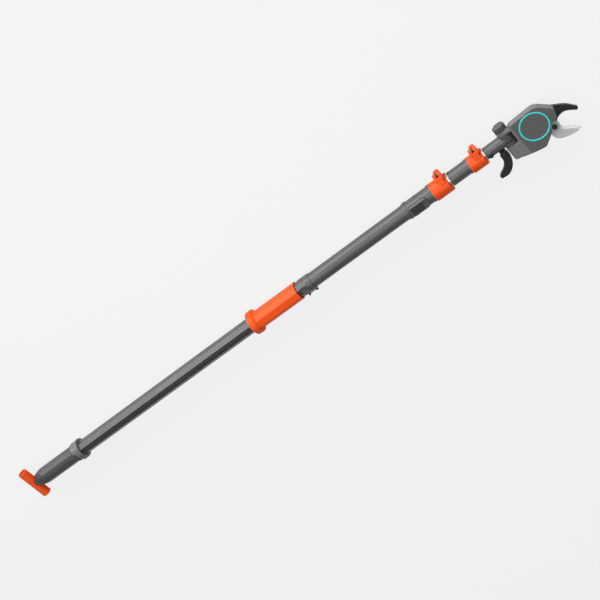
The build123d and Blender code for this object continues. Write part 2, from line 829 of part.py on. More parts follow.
def make_hook_screw():
    z0 = -hook_back_z - hook_lug_t
    top = -hook_back_z + hook_t + hook_boss_lift
    nut_t = hook_screw_r
    body = rod_z(z0 - nut_t, top, hook_screw_r, hook_x, hook_y)
    body = body + rod_z(top, top + hook_head_t, hook_head_r, hook_x, hook_y)
    rim = body.edges().filter_by_position(Axis.Z, top + hook_head_t, top + hook_head_t)
    body = fillet(rim, hook_head_t / 2)
    return body + Pos(hook_x, hook_y, 0) * hex_nut(z0 - nut_t, z0, 4 * hook_screw_r)


# Cutting head: frame with the fork of the hinge, cover, dark face and round trim
head_front = 22.0
head_back = 18.0
waist_z = 4.0
bevel_z = 9.0
front_inset = 2.8
back_flare_share = 0.45
head_wall = 4.6
head_corner = 6.0
arm_top_share = 0.203
arm_low_share = 0.4286
rear_wall_share = 0.2105
arm_top = arm_top_share * head_reach
arm_low = arm_low_share * head_reach
rear_wall = rear_wall_share * head_reach
fork_half = knuckle_half + 0.5
fork_depth = 20.0
front_slope = 26.0
head_outline_shares = [
    (0.0, 0.203), (0.132, 0.203), (0.188, 0.252), (0.602, 0.274), (0.692, 0.274), (0.782, 0.233),
    (0.947, 0.075), (0.989, -0.008), (0.977, -0.113), (0.925, -0.207), (0.882, -0.229),
    (0.782, -0.24), (0.722, -0.286), (0.707, -0.391),
    (0.489, -0.549), (0.361, -0.534), (0.173, -0.489), (0.0, -0.45),
]

# Gears: the pinion of the drum and the toothed sector of the blade
module_share = 0.009023
gear_module = module_share * head_reach
pinion_teeth = 9
sector_teeth = 78
pressure_angle = 20.0
shift_share = 0.35
backlash = 0.4
centre_distance = gear_module * (pinion_teeth + sector_teeth) / 2
mesh_angle = 131.6
pivot_shares = (0.7895, -0.3534)
pivot_x = hinge_x + pivot_shares[0] * head_reach
pivot_y = pivot_shares[1] * head_reach
drum_x = pivot_x + centre_distance * math.cos(math.radians(mesh_angle))
drum_y = pivot_y + centre_distance * math.sin(math.radians(mesh_angle))


def head_outline(shrink=0):
    points = [(hinge_x + x * head_reach, y * head_reach) for x, y in head_outline_shares]
    face = Polygon(*points, align=None)
    if shrink != 0:
        face = offset(face, -shrink, kind=Kind.INTERSECTION)
    return fillet(face.vertices(), head_corner * head_corner / (head_corner + abs(shrink)))


def head_side():
    """Side view of the head in (X, Z): round at the hinge, sloping up to the face."""
    far = hinge_x + 2 * head_reach
    slab = Polygon(
        (hinge_x, knuckle_r), (hinge_x + front_slope, head_front), (far, head_front),
        (far, -head_back), (hinge_x + front_slope, -head_back), (hinge_x, -knuckle_r), align=None)
    return slab + Pos(hinge_x, 0) * Circle(knuckle_r)


def head_form(stations):
    """Ruled form through insets of the head's outline at rising heights."""
    faces = [Pos(0, 0, z) * head_outline(inset) for z, inset in stations]
    body = loft(faces[:2], ruled=True)
    for low, high in zip(faces[1:], faces[2:]):
        body = body + loft([low, high], ruled=True)
    return body


def flare_at(z):
    """Inset of the tapered back at a height below the waist."""
    return back_flare_share * (waist_z - z)


def head_solid():
    """Outer form of the whole head, with the barrel of the hinge."""
    form = head_form([
        (-head_back, flare_at(-head_back)), (waist_z, 0), (bevel_z, 0), (head_front, front_inset)])
    body = form & along_y(head_side(), -head_reach, head_reach)
    return body + rod_y(-arm_low, arm_top, knuckle_r, hinge_x)


# Fixed jaw and blade about the pivot, and the round slot that they need in the head
jaw_back = -10.0
jaw_front = -1.8
blade_half_t = 1.6
sector_front = 5.3
blade_hub_r = 14.0
jaw_hub_r = 13.0
pivot_shank_r = 5.0
pivot_head_r = 6.4
pivot_head_t = 6.0
pivot_nut_t = 5.0
pivot_nut_flats = 17.0
sweep_r = 33.0
sweep_front = 6.0
mouth_start = 62.0
mouth_span = 230.0
sector_room_span = 140.0
jaw_slot_scale = 1.012
jaw_reach = 70.5
jaw_outer_shares = [
    (0.113, 0.78), (0.319, 0.67), (0.502, 0.553), (0.7, 0.417), (0.868, 0.234), (0.95, 0.12)]
jaw_inner_shares = [
    (0.905, -0.022), (0.674, 0.152), (0.538, 0.207), (0.386, 0.199), (0.272, 0.159), (0.165, 0.043)]
jaw_tail_shares = [(-0.184, 0.0), (-0.312, 0.283), (-0.312, 0.652), (-0.142, 0.828)]
jaw_tip_shares = (0.992, 0.02)
jaw_screw_shares = [(-0.099, 0.482), (-0.113, 0.752)]
blade_reach = 68.0
blade_edge_shares = [(0.199, -0.03), (0.213, -0.206), (0.353, -0.324), (0.559, -0.471), (0.715, -0.68)]
blade_back_shares = [
    (0.48, -0.712), (0.229, -0.668), (-0.018, -0.584), (-0.2, -0.446), (-0.25, -0.25), (-0.206, 0.0)]
blade_bevel = 6.5
blade_rivet_r = 1.6
blade_rivet_ring = 10.0
sector_start = 65.0
sector_span = 75.0
window_in = 18.0
sector_rim = 5.8
window_margin = 7.0


def shares_to(points, size):
    return [(x * size, y * size) for x, y in points]


def jaw_face():
    outer = shares_to(jaw_outer_shares, jaw_reach)
    inner = shares_to(jaw_inner_shares, jaw_reach)
    tail = shares_to(jaw_tail_shares, jaw_reach)
    tip = (jaw_tip_shares[0] * jaw_reach, jaw_tip_shares[1] * jaw_reach)
    outline = (
        Spline(*outer)
        + ThreePointArc(outer[-1], tip, inner[0])
        + Spline(*inner)
        + Line(inner[-1], tail[0])
        + Polyline(*tail)
        + Line(tail[-1], outer[0])
    )
    return make_face(outline) + Circle(jaw_hub_r)


def make_fixed_jaw():
    jaw = along_z(jaw_face(), jaw_back, jaw_front)
    jaw = jaw - rod_z(jaw_back - overrun, overrun, pivot_shank_r + seat)
    for x, y in shares_to(jaw_screw_shares, jaw_reach):
        jaw = jaw - rod_z(jaw_back - overrun, jaw_screw_top, jaw_screw_r + seat, x, y)
    return Pos(pivot_x, pivot_y, 0) * jaw


def make_cutting_blade():
    edge = shares_to(blade_edge_shares, blade_reach)
    back = shares_to(blade_back_shares, blade_reach)
    outline = Spline(*edge) + Line(edge[-1], back[0]) + Spline(*back) + Line(back[-1], edge[0])
    body = along_z(make_face(outline), -blade_half_t, blade_half_t)
    edges = body.edges().filter_by_position(Axis.Z, blade_half_t, blade_half_t).filter_by(GeomType.BSPLINE)
    cutting = edges.sort_by(Axis.X)[-1]
    body = chamfer(cutting, blade_half_t, blade_bevel)
    body = body + rod_z(-blade_half_t, blade_half_t, blade_hub_r)
    body = body - rod_z(-2 * blade_half_t, 2 * blade_half_t, pivot_shank_r + running)
    for x, y in rivet_places():
        body = body - rod_z(-2 * blade_half_t, 2 * blade_half_t, blade_rivet_r + seat, x, y)
    return Pos(pivot_x, pivot_y, 0) * body


def rivet_places():
    angles = (math.radians(a) for a in (30, 150, 270))
    return [(blade_rivet_ring * math.cos(a), blade_rivet_ring * math.sin(a)) for a in angles]


def make_rivets():
    """Flush rivets that hold the sector to the blade."""
    rivets = []
    for x, y in rivet_places():
        rivets.append(rod_z(-blade_half_t, sector_front, blade_rivet_r, pivot_x + x, pivot_y + y))
    return rivets


def involute(angle):
    return math.tan(angle) - angle


def tooth_points(pitch_r, base_r, tip_r, root_r, thickness, centre, steps=4):
    """Outline of one gear tooth from root to root, with involute flanks."""
    start_r = max(base_r, root_r)
    half_at_pitch = thickness / (2 * pitch_r) + involute(math.radians(pressure_angle))
    radii = [start_r + (tip_r - start_r) * i / steps for i in range(steps + 1)]
    flank = [(r, half_at_pitch - involute(math.acos(base_r / r))) for r in radii]
    flank = [(root_r, flank[0][1])] + flank if root_r < start_r else flank
    left = [(r, centre - a) for r, a in flank]
    right = [(r, centre + a) for r, a in reversed(flank)]
    return [(r * math.cos(a), r * math.sin(a)) for r, a in left + right]


def gear_points(teeth, shift, first_angle, count, tip_trim=0):
    """Outline of a row of teeth on a wheel of a given number of teeth."""
    pitch_r = gear_module * teeth / 2
    base_r = pitch_r * math.cos(math.radians(pressure_angle))
    tip_r = pitch_r + gear_module * (1 + shift) - tip_trim
    root_r = pitch_r - gear_module * (1.25 - shift)
    slope = math.tan(math.radians(pressure_angle))
    thickness = gear_module * (math.pi / 2 + 2 * shift * slope) - backlash
    points = []
    for i in range(count):
        centre = math.radians(first_angle) + i * 2 * math.pi / teeth
        points += tooth_points(pitch_r, base_r, tip_r, root_r, thickness, centre)
    return points


def make_sector_gear():
    pitch = 360 / sector_teeth
    count = int(sector_span / pitch)
    first = mesh_angle + pitch / 2 - math.floor((mesh_angle - sector_start) / pitch) * pitch
    points = gear_points(sector_teeth, -shift_share, first, count)
    rim = make_face(Polyline(*points, (0, 0), close=True))
    last = first + (count - 1) * pitch
    opening_from = first + window_margin
    window_out = gear_module * sector_teeth / 2 - sector_rim
    opening = Rot(0, 0, opening_from) * pie(window_out, last - first - 2 * window_margin) - Circle(window_in)
    face = rim + Circle(blade_hub_r) - opening
    body = along_z(face, blade_half_t, sector_front)
    body = body - rod_z(0, 2 * sector_front, pivot_shank_r + running)
    for x, y in rivet_places():
        body = body - rod_z(0, 2 * sector_front, blade_rivet_r + seat, x, y)
    return Pos(pivot_x, pivot_y, 0) * body


def pie(r, span):
    """Pie of a disc in (X, Y), from +X round by an angle."""
    end = math.radians(span)
    mid = end / 2
    outline = (
        Line((0, 0), (r, 0))
        + ThreePointArc(
            (r, 0), (r * math.cos(mid), r * math.sin(mid)), (r * math.cos(end), r * math.sin(end)))
        + Line((r * math.cos(end), r * math.sin(end)), (0, 0))
    )
    return make_face(outline)


def make_pivot_bolt():
    z_head = sector_front + clear
    body = rod_z(jaw_back - pivot_nut_t, z_head, pivot_shank_r)
    head = rod_z(z_head, z_head + pivot_head_t, pivot_head_r)
    head = fillet(head.edges().filter_by_position(Axis.Z, z_head + pivot_head_t, z_head + pivot_head_t),
                  2 * edge_round)
    socket = along_z(RegularPolygon(pivot_head_r / 2, 6), z_head + pivot_head_t / 2, z_head + pivot_head_t)
    nut = hex_nut(jaw_back - pivot_nut_t, jaw_back, pivot_nut_flats)
    return Pos(pivot_x, pivot_y, 0) * (body + head - socket + nut)


# Drum: flanges, core with the pinion below, winding, return spring, bushes
drum_low = 7.0
drum_high = 17.0
flange_t = 1.5
drum_flange_r = 28.5
core_r = 22.0
core_wall = 2.5
winding_in = core_r + seat
drum_shaft_r = 4.0
shaft_low = -14.0
shaft_high = 19.0
bush_out_r = 6.5
lower_bush_low = -14.5
lower_bush_high = -8.0
upper_bush_low = 17.3
cavity_low = -15.5
cavity_high = 19.5
frame_boss_r = 8.5
spring_turns = 3
spring_t = 0.6
wind_r = grip_travel / (math.radians(blade_swing) * sector_teeth / pinion_teeth)
winding_out = wind_r - cord_r - running
eyelet_x = hinge_x + rear_wall + clear


def make_cord_drum():
    body = rod_z(drum_low, drum_high, core_r)
    body = body + rod_z(drum_low, drum_low + flange_t, drum_flange_r)
    body = body + rod_z(drum_high - flange_t, drum_high, drum_flange_r)
    body = body - rod_z(drum_low + flange_t, drum_high + overrun, core_r - core_wall)
    body = body + rod_z(shaft_low, shaft_high, drum_shaft_r)
    points = gear_points(pinion_teeth, shift_share, mesh_angle + 180, pinion_teeth, clear)
    pinion = along_z(make_face(Polyline(*points, close=True)), blade_half_t + skin, drum_low)
    return Pos(drum_x, drum_y, 0) * (body + pinion)


def make_cord_winding():
    low = drum_low + flange_t
    high = drum_high - flange_t
    turns = 4
    step = (high - low) / turns
    body = rod_z(low, high, winding_out - cord_r)
    for i in range(turns):
        body = body + Pos(0, 0, low + (i + 0.5) * step) * Torus(winding_out - step / 2, step / 2 - seat)
    body = body - rod_z(low - overrun, high + overrun, winding_in)
    return Pos(drum_x, drum_y, 0) * body


def make_return_spring():
    """Flat spiral spring in the hollow of the drum, between the shaft and the wall."""
    low = drum_low + flange_t
    high = drum_high - flange_t
    r_in = drum_shaft_r + seat
    r_out = core_r - core_wall - seat
    coil_step = (r_out - r_in - spring_t) / spring_turns
    inner = []
    outer = []
    samples = 24 * spring_turns
    for i in range(samples + 1):
        angle = 2 * math.pi * spring_turns * i / samples
        r = r_in + coil_step * spring_turns * i / samples
        inner.append((r * math.cos(angle), r * math.sin(angle)))
        outer.append(((r + spring_t) * math.cos(angle), (r + spring_t) * math.sin(angle)))
    outline = (
        Spline(*inner) + Line(inner[-1], outer[-1]) + Spline(*reversed(outer)) + Line(outer[0], inner[0])
    )
    return Pos(drum_x, drum_y, 0) * along_z(make_face(outline), low + skin, high - skin)


def make_drum_bushes():
    lower = rod_z(lower_bush_low, lower_bush_high, bush_out_r) - rod_z(
        2 * lower_bush_low, 0, drum_shaft_r + running)
    upper = rod_z(upper_bush_low, cavity_high, bush_out_r) - rod_z(
        0, 2 * cavity_high, drum_shaft_r + running)
    place = Pos(drum_x, drum_y, 0)
    return [place * lower, place * upper]


def head_cavity():
    body = head_form([
        (cavity_low, head_wall + flare_at(cavity_low)), (waist_z, head_wall), (cavity_high, head_wall)])
    return body & block(hinge_x + rear_wall, hinge_x + 2 * head_reach, -head_reach, head_reach,
                        cavity_low, cavity_high)


cover_screw_shares = [(0.271, 0.143), (0.692, 0.158), (0.241, -0.338), (0.376, -0.391)]
boss_r = 4.5
cover_screw_r = 1.7
cover_screw_head_r = 3.4
cover_screw_head_t = 2.0
cover_screw_sink = 3.0
cover_screw_top = 10.0
jaw_screw_r = 2.5
jaw_screw_head_r = 4.5
jaw_screw_head_t = 3.0
jaw_screw_top = -3.0
jaw_pad_r = 7.0
panel_inset = 0.6
panel_t = 1.4
panel_lift = 0.2
ring_in_r = 32.0
ring_out_r = 38.0
ring_t = 1.0


def cover_screw_places():
    return [(hinge_x + x, y) for x, y in shares_to(cover_screw_shares, head_reach)]


def jaw_screw_places():
    return [(pivot_x + x, pivot_y + y) for x, y in shares_to(jaw_screw_shares, jaw_reach)]


def sweep_rooms():
    """Slots for the blade, the sector and the jaw to leave the head."""
    place = Pos(pivot_x, pivot_y, 0)
    low = jaw_front - skin / 2
    mouth = along_z(Rot(0, 0, mouth_start) * pie(sweep_r, mouth_span), low, sweep_front)
    hub = rod_z(low, sweep_front, blade_hub_r + clear)
    room_r = gear_module * (sector_teeth / 2 + 1 - shift_share) + 2 * clear
    gear_low = blade_half_t - skin
    inner = along_z(Rot(0, 0, mouth_start) * pie(room_r, sector_room_span), gear_low, sweep_front)
    inside = along_z(head_outline(head_wall / 2), low - overrun, sweep_front + overrun)
    jaw = along_z(scale(jaw_face(), by=jaw_slot_scale), jaw_back, low + skin)
    return [place * mouth, place * hub, place * inner & inside, place * jaw]


def head_body(front):
    """One half of the hollow head: the frame behind, or the cover in front."""
    body = head_solid() - head_cavity()
    body = body - rod_x(hinge_x + knuckle_r, eyelet_x + overrun, cord_r + clear, -lane_y, run_z)
    seam_x = hinge_x + front_slope
    far = hinge_x + 2 * head_reach
    cover_zone = block(seam_x, far, -head_reach, head_reach, 0, head_front + overrun)
    if front:
        body = body & cover_zone
        for x, y in cover_screw_places():
            body = body + rod_z(0, cavity_high, boss_r, x, y)
            body = body - rod_z(-overrun, cover_screw_top, cover_screw_r + seat, x, y)
        body = body + rod_z(upper_bush_low, head_front - panel_t, frame_boss_r, drum_x, drum_y)
        body = body - rod_z(upper_bush_low - overrun, cavity_high, bush_out_r + seat, drum_x, drum_y)
    else:
        body = body - cover_zone
        for x, y in cover_screw_places():
            body = body + rod_z(cavity_low, 0, boss_r, x, y)
            body = body - rod_z(-head_back - overrun, overrun, cover_screw_r + seat, x, y)
            body = body - rod_z(-head_back - overrun, -head_back + cover_screw_sink,
                                cover_screw_head_r + skin, x, y)
        for x, y in jaw_screw_places():
            body = body + rod_z(cavity_low, jaw_back, jaw_pad_r, x, y)
        body = body + rod_z(cavity_low, lower_bush_high, frame_boss_r, drum_x, drum_y)
        for x, y in jaw_screw_places():
            body = body - rod_z(-head_back - overrun, jaw_back + overrun, jaw_screw_r + seat, x, y)
            body = body - rod_z(-head_back - overrun, -head_back + jaw_screw_head_t + seat,
                                jaw_screw_head_r + skin, x, y)
        body = body - rod_z(lower_bush_low, overrun, bush_out_r + seat, drum_x, drum_y)
        body = body - rod_z(cavity_low, overrun, drum_shaft_r + skin, drum_x, drum_y)
        fork = block(hinge_x - 2 * knuckle_r, hinge_x + fork_depth, -fork_half, fork_half,
                     -2 * knuckle_r, 2 * knuckle_r)
        body = body - fork
        body = body - rod_y(-arm_low - overrun, arm_top + overrun, hinge_bolt_r + seat, hinge_x)
        body = body - rod_y(-arm_low - overrun, -arm_low + hinge_head_t, hinge_head_r + skin, hinge_x)
    for room in sweep_rooms():
        body = body - room
    return body


def panel_face(shrink):
    """Flat front of the head, inside its bevel."""
    face = head_outline(front_inset + panel_inset + shrink)
    keep = Pos(hinge_x + front_slope + head_reach / 2 + panel_inset + shrink, 0) * Rectangle(
        head_reach, 2 * head_reach)
    return face & keep


def make_head_frame():
    return head_body(False)


def make_head_cover():
    body = head_body(True)
    return body - along_z(panel_face(-seat), head_front + panel_lift - panel_t, head_front + overrun)


def make_face_panel():
    top = head_front + panel_lift
    return along_z(panel_face(0), top - panel_t, top)


def make_face_ring():
    top = head_front + panel_lift
    ring = rod_z(top, top + ring_t, ring_out_r, drum_x, drum_y)
    ring = fillet(ring.edges().filter_by_position(Axis.Z, top + ring_t, top + ring_t), ring_t / 2)
    return ring - rod_z(top - overrun, top + ring_t + overrun, ring_in_r, drum_x, drum_y)


def sunk_screw(x, y, z0, head_r, head_t, r, top):
    """Screw put in from the back, with a cross recess in its head."""
    body = rod_z(z0, z0 + head_t, head_r, x, y) + rod_z(z0 + head_t, top, r, x, y)
    recess = block(x - head_r / 2, x + head_r / 2, y - head_t / 4, y + head_t / 4,
                   z0 - overrun, z0 + head_t / 2)
    return body - recess


def make_cover_screws():
    z0 = -head_back + cover_screw_sink - cover_screw_head_t
    return [sunk_screw(x, y, z0, cover_screw_head_r, cover_screw_head_t, cover_screw_r, cover_screw_top)
            for x, y in cover_screw_places()]


def make_jaw_screws():
    z0 = -head_back + seat
    return [sunk_screw(x, y, z0, jaw_screw_head_r, jaw_screw_head_t, jaw_screw_r, jaw_screw_top)
            for x, y in jaw_screw_places()]


# Hinge: bolt through the fork, washers in its gaps, star knob on the end
hinge_head_r = 8.0
hinge_head_t = 4.0
knob_length = 14.5
knob_gap = 0.5
knob_r = 16.4
knob_lobes = 6
knob_groove_r = 5.0
knob_groove_out = 19.0
knob_crown = 4.0
washer_t = 0.5


def make_hinge_bolt():
    body = rod_y(-arm_low + seat, arm_top + knob_length - knob_crown, hinge_bolt_r, hinge_x)
    return body + rod_y(-arm_low + seat, -arm_low + hinge_head_t, hinge_head_r, hinge_x)


def make_hinge_washers():
    washers = []
    for side in (-1, 1):
        y0 = min(side * knuckle_half, side * fork_half)
        washer = rod_y(y0 + seat, y0 + washer_t - seat, knuckle_r - 2 * edge_round, hinge_x)
        washers.append(washer - rod_y(y0 - overrun, y0 + overrun, hinge_bolt_r + seat, hinge_x))
    return washers


def make_hinge_knob():
    y0 = arm_top + knob_gap
    top = y0 + knob_length
    knob = rod_y(y0, top, knob_r, hinge_x)
    for i in range(knob_lobes):
        angle = math.radians(360 * (i + 0.5) / knob_lobes)
        knob = knob - rod_y(y0 - overrun, top + overrun, knob_groove_r,
                            hinge_x + knob_groove_out * math.cos(angle), knob_groove_out * math.sin(angle))
    knob = fillet(knob.edges().filter_by_position(Axis.Y, top, top), 2 * edge_round)
    return knob - rod_y(y0 - overrun, top - knob_crown, hinge_bolt_r + running, hinge_x)


def make_head_cord():
    """Cord from the hinge roller through the wall and on to the drum."""
    dx = drum_x - eyelet_x
    dy = drum_y + lane_y
    centre_distance_xy = math.hypot(dx, dy)
    heading = math.atan2(dy, dx) - math.asin(wind_r / centre_distance_xy)
    flat_run = math.sqrt(centre_distance_xy ** 2 - wind_r ** 2)
    rise = (drum_low + drum_high) / 2 - run_z
    span = math.hypot(flat_run, rise)
    slanted = Plane(origin=(eyelet_x, -lane_y, run_z),
                    z_dir=(flat_run * math.cos(heading), flat_run * math.sin(heading), rise))
    run = extrude(slanted * Circle(cord_r), amount=span)
    body = rod_x(hinge_x + skin, eyelet_x, cord_r, -lane_y, run_z) + run
    return body + Pos(eyelet_x, -lane_y, run_z) * Sphere(cord_r)


def make_connector_screws():
    head_y = main_r + connector_wall
    return [side_screw(side, connector_screw_x, main_r - main_wall / 2, head_y) for side in (-1, 1)]


def make_neck_screw():
    """Thumb screw with a grooved head, put in from the front of the neck."""
    head_y = upper_r + neck_wall + catch_boss_lift
    top_y = head_y + catch_lift
    head = rod_y(head_y, top_y, catch_r, neck_screw_x)
    head = chamfer(head.edges().filter_by_position(Axis.Y, top_y, top_y), catch_bevel)
    for i in range(catch_grooves):
        angle = math.radians((i + catch_first) * 360 / catch_grooves)
        head = head - rod_y(head_y - overrun, top_y + overrun, catch_groove_r,
                            neck_screw_x + catch_r * math.cos(angle), catch_r * math.sin(angle))
    shank = rod_y(upper_r - thin_wall / 2, head_y, side_screw_r / 2, neck_screw_x)
    return Rot(catch_angle, 0, 0) * (head + shank)


def group(solids):
    return Compound(children=list(solids))


save("tee_handle", make_tee_handle())
save("pull_rod", make_pull_rod())
save("tee_pins", group([make_tee_pin(), make_foot_axle()]))
save("foot_pulley", make_foot_pulley())
save("tee_cord", make_tee_cord())
save("foot_shell", make_foot_shell())
save("ring_pin", ring_pin_rod(0))
save("lock_ring", make_lock_ring())
save("profile_tube", make_profile_tube())
save("channel_strip", make_channel_strip())
save("return_cord", make_return_cord())
save("grip_cord", make_grip_cord())
save("junction_pulley", make_junction_pulley())
save("junction_pins", group([make_junction_axle(), make_lug_pin()]))
save("junction_collar", make_junction_collar())
save("grip_shell", make_grip_shell())
save("grip_bushes", group([make_grip_bush(grip_x + bush_inset),
                           make_grip_bush(grip_end - bush_inset - bush_length)]))
save("grip_carriage", make_grip_carriage())
save("main_tube", make_main_tube())
save("connector", make_connector())
save("connector_screws", group(make_connector_screws()))
save("latch_slider", make_latch_slider())
for word, clamp in (("lower", lower_clamp), ("upper", upper_clamp)):
    save(word + "_clamp_band", clamp.band())
    save(word + "_clamp_bolt", clamp.bolt())
    save(word + "_clamp_lever", clamp.lever())
    save(word + "_clamp_pin", clamp.pin())
save("middle_tube", make_middle_tube())
save("middle_glide", make_glide(middle_x, main_bore_r - running, middle_r))
save("middle_sleeve", make_middle_sleeve())
save("sleeve_screws", group(make_sleeve_screws()))
save("upper_tube", make_upper_tube())
save("upper_glide", make_glide(upper_x, middle_r - thin_wall - running, upper_r))
save("neck", make_neck())
save("neck_screw", make_neck_screw())
save("branch_hook", make_branch_hook())
save("hook_screw", make_hook_screw())
save("upper_cord", make_upper_cord())
save("hinge_roller", make_hinge_roller())
save("hinge_bolt", make_hinge_bolt())
save("hinge_washers", group(make_hinge_washers()))
save("hinge_knob", make_hinge_knob())
save("head_frame", make_head_frame())
save("head_cover", make_head_cover())
save("face_panel", make_face_panel())
save("face_ring", make_face_ring())
save("fixed_jaw", make_fixed_jaw())
save("head_screws", group(make_jaw_screws() + make_cover_screws()))
save("pivot_bolt", make_pivot_bolt())
save("cutting_blade", make_cutting_blade())
save("sector_gear", make_sector_gear())
save("blade_rivets", group(make_rivets()))
save("cord_drum", make_cord_drum())
save("cord_winding", make_cord_winding())
save("return_spring", make_return_spring())
save("drum_bushes", group(make_drum_bushes()))
save("head_cord", make_head_cord())
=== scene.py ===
import json
import math

import bmesh
import bpy
from mathutils import Matrix, Vector


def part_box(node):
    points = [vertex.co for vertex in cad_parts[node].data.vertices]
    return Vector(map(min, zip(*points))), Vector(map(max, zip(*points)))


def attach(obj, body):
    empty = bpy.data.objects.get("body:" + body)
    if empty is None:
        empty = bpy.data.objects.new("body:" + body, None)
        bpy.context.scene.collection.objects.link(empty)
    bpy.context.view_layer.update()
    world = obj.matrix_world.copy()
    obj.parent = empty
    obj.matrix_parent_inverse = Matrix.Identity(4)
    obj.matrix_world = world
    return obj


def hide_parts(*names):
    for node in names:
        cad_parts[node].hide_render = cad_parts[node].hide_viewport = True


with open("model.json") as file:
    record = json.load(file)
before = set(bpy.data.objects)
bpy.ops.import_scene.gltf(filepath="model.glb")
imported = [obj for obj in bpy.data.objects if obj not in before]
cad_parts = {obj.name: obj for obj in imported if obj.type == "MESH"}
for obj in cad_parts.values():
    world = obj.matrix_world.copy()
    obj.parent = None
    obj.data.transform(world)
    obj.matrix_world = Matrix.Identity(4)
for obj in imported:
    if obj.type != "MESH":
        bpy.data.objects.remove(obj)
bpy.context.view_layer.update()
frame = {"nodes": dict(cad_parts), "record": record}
nodes = frame["nodes"]
print("frame loaded,", len(nodes), "nodes")

cameraSettings = {
    "focalPixels": 1135.0,      # of a 600 pixel wide picture
    "imagePixels": 600.0,
    "sensor": 36.0,
    "tilt": math.radians(21.0),       # how far the head end comes towards the camera
    "slope": math.radians(35.93),     # of the pole in the picture
    "turn": math.radians(25.4),       # of the face of the head away from the camera
    "axisPoint": 1.0265,              # the pole's point that the distance is measured to
    "axisOffset": 0.0233,
    "distance": 3.0098,
    "clipEnd": 100,
}


def makeCamera(s):
    along = Vector((math.cos(s["slope"]), math.sin(s["slope"]), 0))
    across = Vector((-math.sin(s["slope"]), math.cos(s["slope"]), 0))
    towards = Vector((0, 0, 1))
    poleX = along * math.cos(s["tilt"]) + towards * math.sin(s["tilt"])
    lifted = towards * math.cos(s["tilt"]) - along * math.sin(s["tilt"])
    poleY = lifted * math.sin(s["turn"]) + across * math.cos(s["turn"])
    poleZ = lifted * math.cos(s["turn"]) - across * math.sin(s["turn"])
    axes = Matrix((poleX, poleY, poleZ))       # rows: the object's axes seen by the camera
    seen = across * s["axisOffset"] - towards * s["distance"]
    place = Vector((s["axisPoint"], 0, 0)) - axes @ seen
    data = bpy.data.cameras.new("camera")
    data.sensor_width = s["sensor"]
    data.lens = s["focalPixels"] / s["imagePixels"] * s["sensor"]
    data.clip_end = s["clipEnd"]
    camera = bpy.data.objects.new("camera", data)
    camera.matrix_world = Matrix.Translation(place) @ axes.to_4x4()
    bpy.context.scene.collection.objects.link(camera)
    bpy.context.scene.camera = camera


makeCamera(cameraSettings)
print("camera placed")


# Shader groups shared by several finishes
def newGroup(name, inputs, outputs):
    group = bpy.data.node_groups.new(name, "ShaderNodeTree")
    for label, kind, value in inputs:
        socket = group.interface.new_socket(name=label, in_out="INPUT", socket_type=kind)
        socket.default_value = value
    for label, kind in outputs:
        group.interface.new_socket(name=label, in_out="OUTPUT", socket_type=kind)
    return group, group.nodes.new("NodeGroupInput"), group.nodes.new("NodeGroupOutput")


def addNode(tree, kind, values=None, links=None):
    node = tree.nodes.new(kind)
    for key, value in (values or {}).items():
        if isinstance(key, str) and hasattr(node, key):
            setattr(node, key, value)
        else:
            node.inputs[key].default_value = value
    for key, socket in (links or {}).items():
        tree.links.new(socket, node.inputs[key])
    return node


def mathNode(tree, operation, first, second=0.0, clamp=False):
    node = tree.nodes.new("ShaderNodeMath")
    node.operation = operation
    node.use_clamp = clamp
    for i, value in enumerate((first, second)):
        if isinstance(value, (int, float)):
            node.inputs[i].default_value = value
        else:
            tree.links.new(value, node.inputs[i])
    return node.outputs[0]


# Mask of worn edges, and the normal rounded over them
edgeSettings = {"samples": 4, "sharpness": 9.0, "breakupGain": 2.4, "breakupShift": -0.75}


def makeEdgeGroup(s):
    group, start, end = newGroup(
        "edgeWear",
        [("Radius", "NodeSocketFloat", 0.0006), ("Breakup", "NodeSocketFloat", 260.0)],
        [("Mask", "NodeSocketFloat"), ("Normal", "NodeSocketVector")])
    bevel = addNode(group, "ShaderNodeBevel", {"samples": s["samples"]},
                    {"Radius": start.outputs["Radius"]})
    geometry = addNode(group, "ShaderNodeNewGeometry")
    dot = addNode(group, "ShaderNodeVectorMath", {"operation": "DOT_PRODUCT"})
    group.links.new(bevel.outputs[0], dot.inputs[0])
    group.links.new(geometry.outputs["Normal"], dot.inputs[1])
    bent = mathNode(group, "SUBTRACT", 1.0, dot.outputs["Value"], True)
    sharp = mathNode(group, "MULTIPLY", bent, s["sharpness"], True)
    place = addNode(group, "ShaderNodeTexCoord")
    noise = addNode(group, "ShaderNodeTexNoise", {"Detail": 3.0, "Roughness": 0.6},
                    {"Vector": place.outputs["Object"], "Scale": start.outputs["Breakup"]})
    broken = mathNode(group, "MULTIPLY_ADD", noise.outputs["Fac"], s["breakupGain"], True)
    broken.node.inputs[2].default_value = s["breakupShift"]
    group.links.new(mathNode(group, "MULTIPLY", sharp, broken, True), end.inputs["Mask"])
    group.links.new(bevel.outputs[0], end.inputs["Normal"])
    return group


# Fine moulded grain, broad tone changes and faint streaks along the pole
grainSettings = {"streaks": (6.0, 130.0, 130.0), "rubFrom": 0.52, "rubTo": 0.74}


